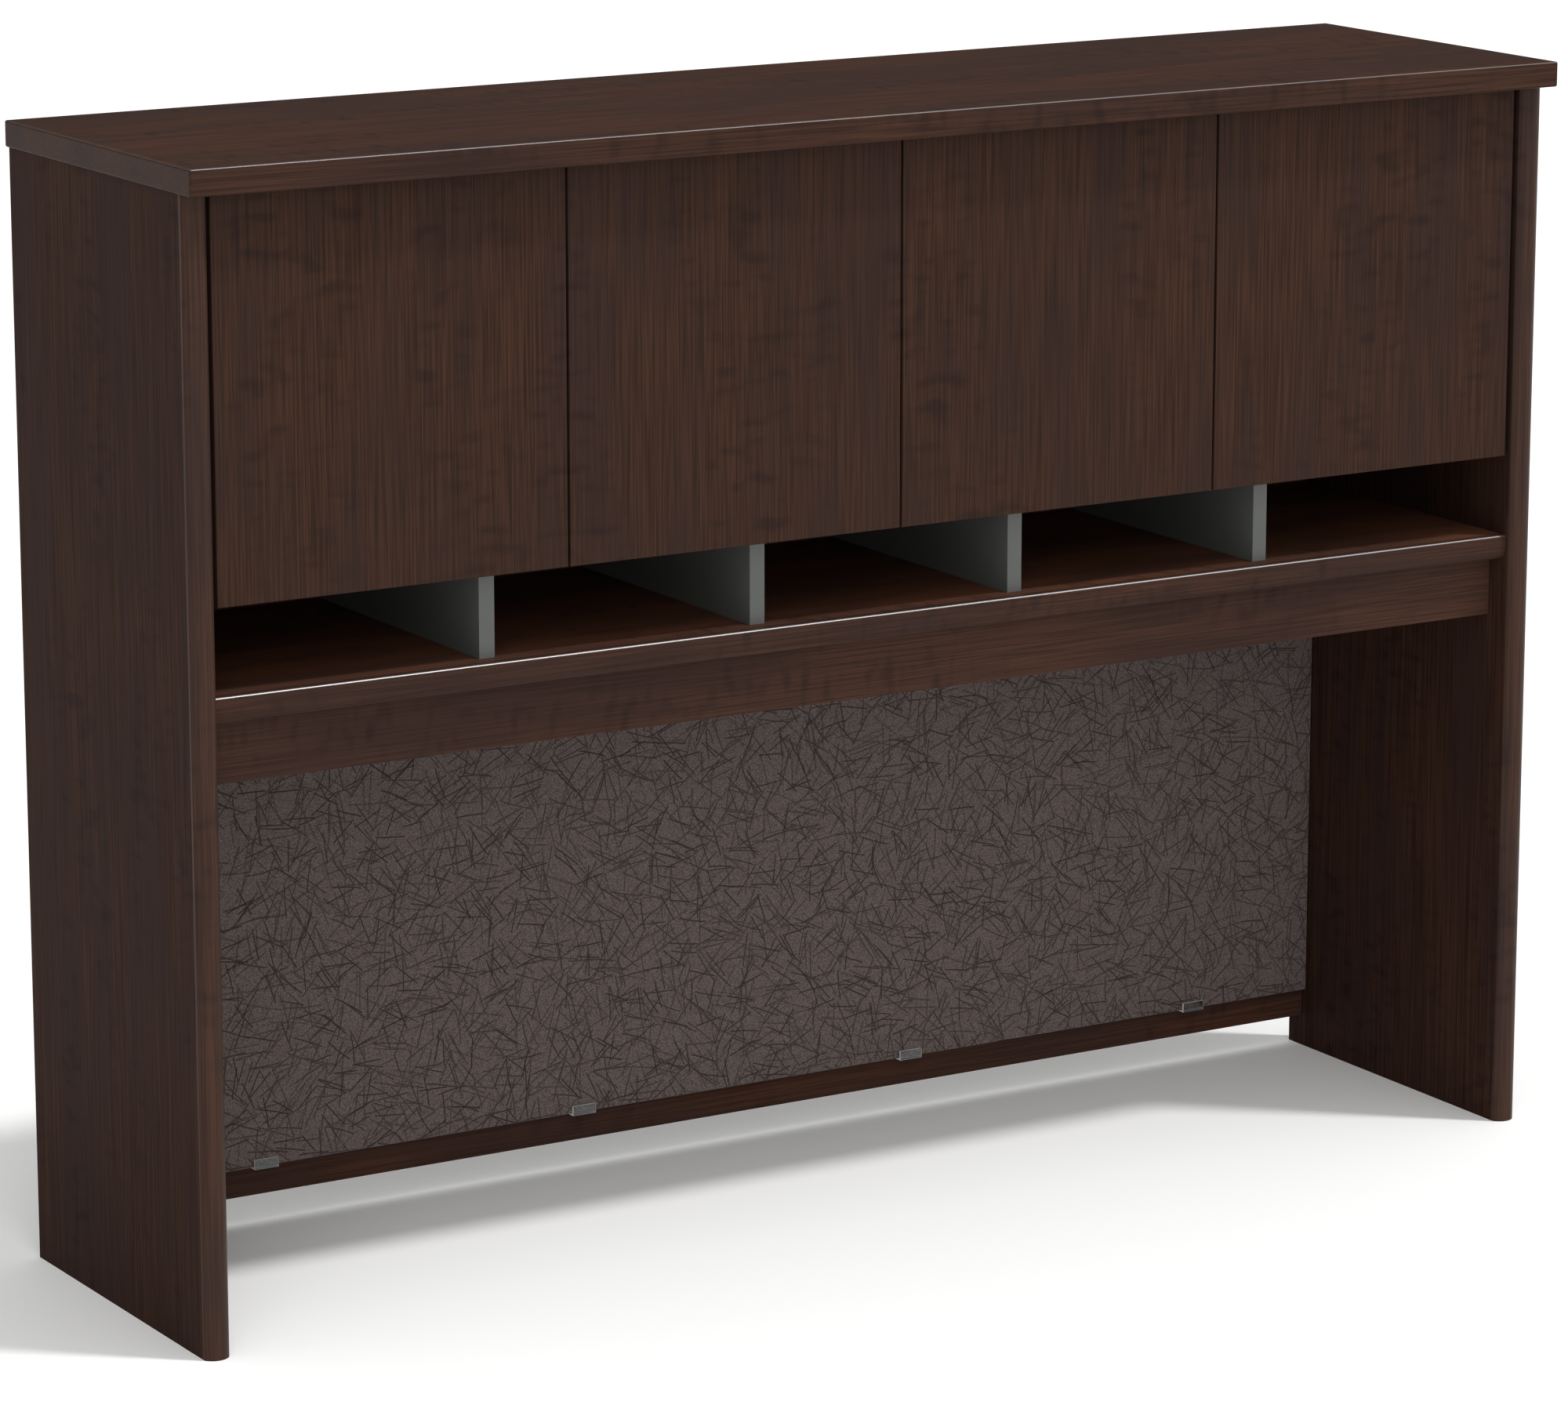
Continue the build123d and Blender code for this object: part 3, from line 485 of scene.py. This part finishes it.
class HUTCH_OT_mouldings(Operator):
    """Finish the rounded front mouldings."""

    bl_idname = "hutch.mouldings"
    bl_label = "Mouldings"

    def execute(self, context):
        wood = context.scene.hutch_wood
        # printed foil wrapped round a moulding: smoother than a board, with a soft light stripe
        dress(cherry_laminate("cherry_foil_moulding_upright", "Z", wood.ground, roughness=0.42,
                              gloss=0.09),
              "left_front_edge", "right_front_edge")
        # the same along the hutch, with a buffed upper edge that catches a thin bright line
        dress(cherry_laminate("cherry_foil_moulding_lying", "X", wood.ground, roughness=0.38,
                              gloss=0.04, buffed=1.0),
              "shelf_front_edge")
        dress(cherry_laminate("cherry_foil_top_band", "X", wood.ground, roughness=0.38,
                              gloss=0.04, buffed=0.4),
              "top_edge_bands")
        return {"FINISHED"}


class HUTCH_OT_doors(Operator):
    """Finish the doors and their edge bands."""

    bl_idname = "hutch.doors"
    bl_label = "Doors"

    def execute(self, context):
        wood = context.scene.hutch_wood
        # pressed laminate with the grain upright: satin, with the clearest cross-grain marks
        dress(cherry_laminate("cherry_laminate_door", "Z", wood.door_ground),
              *nodes_named("door_1", "door_2", "door_3", "door_4"))
        return {"FINISHED"}


class HUTCH_OT_tackboard(Operator):
    """Stretch the fabric over the tackboard core."""

    bl_idname = "hutch.tackboard"
    bl_label = "Tackboard"

    def execute(self, context):
        cloth = context.scene.hutch_fabric
        fittings = context.scene.hutch_fittings
        # pressed wood fibre, cut and left raw: brown, matt and speckled
        dress(gritty("raw_fibreboard", fittings.fibreboard, 0.3, Roughness=0.9), "tackboard_core")

        low, high = (Vector(corner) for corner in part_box("tackboard_fabric"))
        low = low + Vector((1, 0, 1)) * cloth.cloth * FABRIC_INSET
        high = high - Vector((1, 0, 1)) * cloth.cloth * FABRIC_INSET
        size = high - low
        shape = bmesh.new()
        bmesh.ops.create_cube(shape, size=1.0)
        bmesh.ops.scale(shape, vec=size, verts=shape.verts)
        bmesh.ops.translate(shape, vec=(low + high) / 2, verts=shape.verts)
        back = [face for face in shape.faces if face.normal.y > 0.5]
        bmesh.ops.delete(shape, geom=back, context="FACES")
        rounded = [edge for edge in shape.edges if not edge.is_boundary]
        bmesh.ops.bevel(shape, geom=rounded, offset=cloth.edge_round, affect="EDGES",
                        segments=FABRIC_SEGMENTS, profile=0.5, material=-1)
        for axis in (0, 2):
            cuts = int(size[axis] / (FABRIC_GRID * MM))
            for cut in range(1, cuts):
                at = low.copy()
                at[axis] += size[axis] * cut / cuts
                normal = Vector((0, 0, 0))
                normal[axis] = 1
                bmesh.ops.bisect_plane(shape, geom=shape.verts[:] + shape.edges[:] + shape.faces[:],
                                       plane_co=at, plane_no=normal)
        mesh = bpy.data.meshes.new("tackboard_cloth")
        shape.to_mesh(mesh)
        shape.free()
        for face in mesh.polygons:
            face.use_smooth = True
        sheet = bpy.data.objects.new("tackboard_cloth", mesh)
        mesh.materials.append(twig_fabric())
        context.collection.objects.link(sheet)
        wall = sheet.modifiers.new("cloth", "SOLIDIFY")
        wall.thickness = cloth.cloth
        wall.offset = -1.0
        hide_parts("tackboard_fabric")
        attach(sheet, "carcass")
        return {"FINISHED"}


class HUTCH_OT_clips(Operator):
    """Finish the clear clips and bumpers."""

    bl_idname = "hutch.clips"
    bl_label = "Clips and bumpers"

    def execute(self, context):
        # moulded polycarbonate: glossy and clear through its faces; faces seen at a slant turn opaque
        # white, a painted highlight for its bright edges, though real clear plastic does reflect more
        # at a slant
        clear, tree, shader = new_material("clear_moulded_polycarbonate", Roughness=0.06, IOR=1.5,
                                           Base_Color=linear("#F2F4F4"))
        # painted highlight: faces seen at a slant let no light through and show the white base colour
        slant = add(tree, "ShaderNodeLayerWeight", {"Blend": 0.5}).outputs["Facing"]
        tree.links.new(ramp(tree, slant, *PAINTED_EDGE_SLANT), shader.inputs["Transmission Weight"])
        dress(clear, "tackboard_clips", "door_bumpers")
        return {"FINISHED"}


class HUTCH_OT_dividers(Operator):
    """Finish the grey cubby dividers."""

    bl_idname = "hutch.dividers"
    bl_label = "Dividers"

    def execute(self, context):
        # melamine paper pressed on chipboard: an even grey with a soft sheen
        grey = gritty("grey_melamine_laminate", context.scene.hutch_fittings.grey, 0.08,
                      Roughness=0.5, Specular_IOR_Level=0.3)
        dress(grey, "divider_edge_bands", *nodes_named("cubby_divider"))
        return {"FINISHED"}


class HUTCH_OT_fittings(Operator):
    """Finish hinges, screws, cam fittings, dowels and foot inserts."""

    bl_idname = "hutch.fittings"
    bl_label = "Fittings"

    def execute(self, context):
        fittings = context.scene.hutch_fittings
        # pressed steel with a zinc plating: bright grey, with a slight cloudiness
        zinc = gritty("zinc_plated_pressed_steel", fittings.zinc, 0.15, Metallic=1.0, Roughness=0.35)
        # turned from bar: warm yellow and fairly bright
        brass = gritty("turned_brass", fittings.brass, 0.1, Metallic=1.0, Roughness=0.3)
        # turned dowel rod, unfinished: pale and matt
        beech = gritty("raw_beech", fittings.beech, 0.25, Roughness=0.7)
        dress(zinc, *nodes_named("hinge_", "cup_screws", "plate_screws", "arm_screws", "cam_",
                                 "back_panel_screws", "clip_screws"))
        dress(brass, "foot_inserts")
        dress(beech, "dowels")
        return {"FINISHED"}


class HUTCH_PT_parts(Panel):
    """Lists the parts of the hutch and their settings."""

    bl_idname = "HUTCH_PT_parts"
    bl_label = "Desk hutch"
    bl_space_type = "VIEW_3D"
    bl_region_type = "UI"
    bl_category = "Hutch"

    def draw(self, context):
        for step in STEPS:
            self.layout.operator(step.bl_idname)
        for group in (name for name, _ in GROUPS):
            settings = getattr(context.scene, group)
            for name in settings.bl_rna.properties.keys():
                if name not in ("rna_type", "name"):
                    self.layout.prop(settings, name)


GROUPS = (("hutch_stage", HutchStage), ("hutch_wood", HutchWood),
          ("hutch_fabric", HutchFabric), ("hutch_fittings", HutchFittings))
STEPS = (HUTCH_OT_stage, HUTCH_OT_boards, HUTCH_OT_mouldings, HUTCH_OT_doors, HUTCH_OT_dividers,
         HUTCH_OT_tackboard, HUTCH_OT_clips, HUTCH_OT_fittings)


def register():
    for group, kind in GROUPS:
        bpy.utils.register_class(kind)
        setattr(bpy.types.Scene, group, PointerProperty(type=kind))
    for kind in STEPS + (HUTCH_PT_parts,):
        bpy.utils.register_class(kind)


def unregister():
    for kind in reversed(STEPS + (HUTCH_PT_parts,)):
        bpy.utils.unregister_class(kind)
    for group, kind in reversed(GROUPS):
        delattr(bpy.types.Scene, group)
        bpy.utils.unregister_class(kind)


def main():
    """Register the add-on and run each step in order."""
    register()
    for step in STEPS:
        family, name = step.bl_idname.split(".")
        getattr(getattr(bpy.ops, family), name)()


if __name__ == "__main__":
    main()
